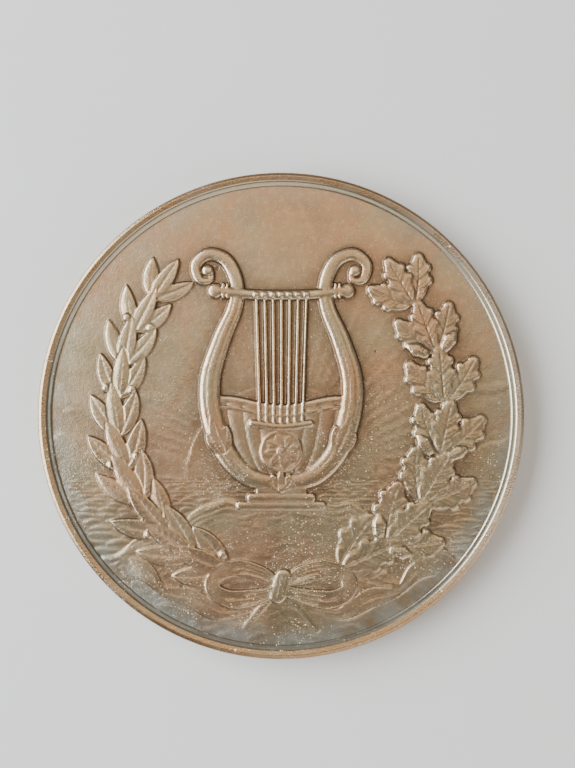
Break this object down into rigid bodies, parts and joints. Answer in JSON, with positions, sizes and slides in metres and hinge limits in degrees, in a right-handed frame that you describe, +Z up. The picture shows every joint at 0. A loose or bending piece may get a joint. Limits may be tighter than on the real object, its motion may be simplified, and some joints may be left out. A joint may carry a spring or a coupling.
{
  "type": "commemorative medal",
  "caption": "Round struck bronze medal with a raised rim and a relief of a lyre inside a wreath of laurel and oak on one face; the other face is plain.",
  "frame": {"origin": "middle of the face that the medal rests on, its plain reverse, at the level of that face's rim", "axes": "+Z up out of the obverse, along the medal's axis; +Y towards the top of the design; +X to its right"},
  "size_m": [0.068, 0.068, 0.005],
  "materials": {
    "bronze": "satin, patinated"
  },
  "bodies": {
    "root": {"medal": "bronze"}
  },
  "joints": []
}
